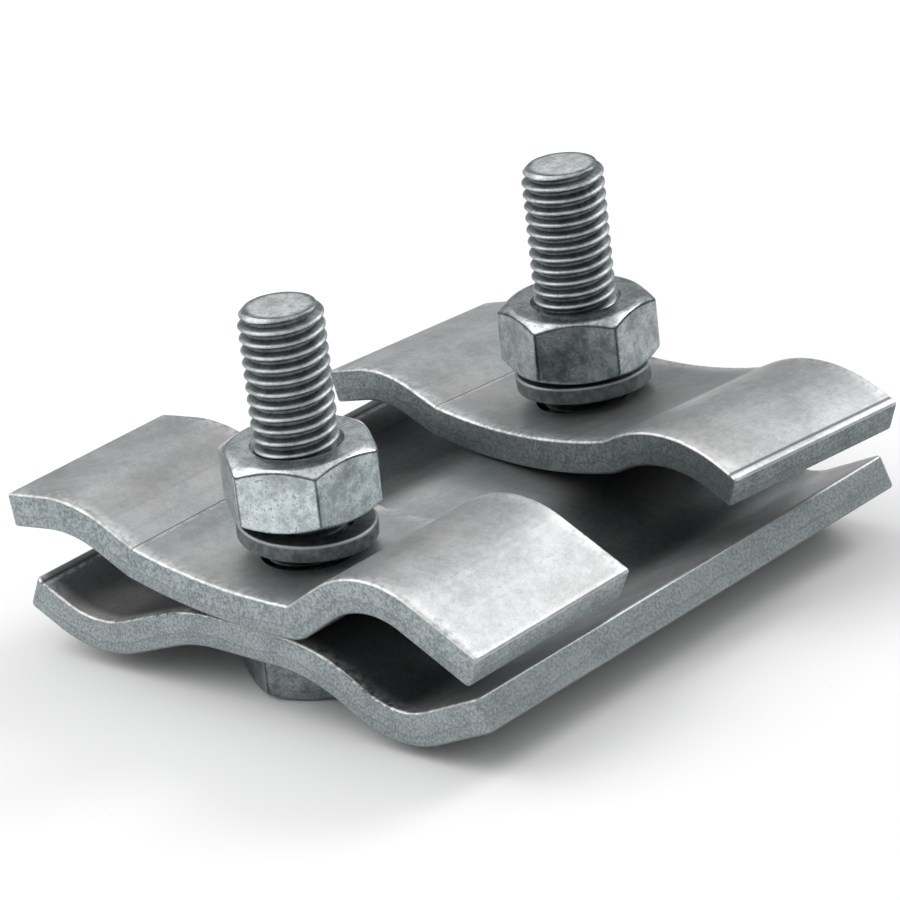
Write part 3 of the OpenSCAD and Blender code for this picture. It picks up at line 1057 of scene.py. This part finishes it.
# %% [markdown]
# ## Studio light
# Polished parts show their surroundings, so soft surroundings matter more than lamps. One
# large, soft lamp stands high on the left and a smaller one on the right, which draws thin
# glints on the threads and arrises. The sky round the clamp is bright overhead and dim near
# the floor, which keeps the hollows between the plates dark.

# %% Lamps
def soft_lamp(name, place, size, power):
    """A square lamp that points at the clamp. Its power is in watts."""
    lamp = bpy.data.lights.new(name, "AREA")
    lamp.shape, lamp.size, lamp.energy = "SQUARE", size, power
    holder = bpy.data.objects.new(name, lamp)
    holder.location = place
    holder.rotation_euler = (-Vector(place)).to_track_quat("-Z", "Y").to_euler()
    bpy.context.scene.collection.objects.link(holder)
    print(name, "stands", round(Vector(place).length, 2), "m away")


soft_lamp("key_lamp", (-0.42, 0.6, 0.8), 1.1, 6.0)
soft_lamp("second_lamp", (0.8, -0.22, 0.7), 0.4, 3.1)

# %% Backdrop
LOW_SKY, SKY_CLIMB, SKY_TOP = 0.12, 0.74, 0.7
world = bpy.data.worlds.new("studio")
bpy.context.scene.world = world
world.use_nodes = True
backdrop = world.node_tree.nodes["Background"]
upward = Shade(world.node_tree).node("ShaderNodeTexCoord").axis(2)
brightness = LOW_SKY + SKY_CLIMB * upward.step(0.0, SKY_TOP)
backdrop.inputs["Color"].default_value = (1, 1, 1, 1)
world.node_tree.links.new(brightness.socket, backdrop.inputs["Strength"])
print("the sky overhead has a strength of", LOW_SKY + SKY_CLIMB)

# %% [markdown]
# ## The camera
# A long lens looks down a little at the near left corner, and the camera is turned slightly
# about its own axis, so the bolts lean to the left in the picture. It aims a little beside
# the origin, by an amount that is measured in millimetres on its sensor. Its distance from
# the origin is in metres.

# %% Aim the camera
AZIMUTH, HEIGHT_ANGLE, ROLL = radians(-46.51), radians(23.33), radians(-6.64)
DISTANCE = 0.582
SENSOR_W, FOCAL = 36.0, 196.0
AIM_RIGHT, AIM_UP = -0.24, 2.2

back = Vector((sin(AZIMUTH) * cos(HEIGHT_ANGLE), -cos(AZIMUTH) * cos(HEIGHT_ANGLE),
               sin(HEIGHT_ANGLE)))
right = Vector((cos(AZIMUTH), sin(AZIMUTH), 0))
up = back.cross(right)
right, up = cos(ROLL) * right + sin(ROLL) * up, -sin(ROLL) * right + cos(ROLL) * up
ahead = (AIM_RIGHT * right + AIM_UP * up - FOCAL * back).normalized()
view_right = ahead.cross(up).normalized()
view_up = view_right.cross(ahead)
lens = bpy.data.cameras.new("long_lens")
lens.sensor_width, lens.lens = SENSOR_W, FOCAL
lens.clip_start, lens.clip_end = 0.05, 20
camera = bpy.data.objects.new("camera", lens)
turn = Matrix((view_right, view_up, -ahead)).transposed()
camera.matrix_world = Matrix.Translation(DISTANCE * back) @ turn.to_4x4()
bpy.context.scene.collection.objects.link(camera)
bpy.context.scene.camera = camera
bpy.context.scene.view_settings.view_transform = "Standard"
print("camera at", [round(v, 3) for v in DISTANCE * back])

# %% [markdown]
# ## The finished box
# The dressed clamp must keep the size of the frame. At the end the scene is brought up to date.

# %% Finish
bpy.context.view_layer.update()
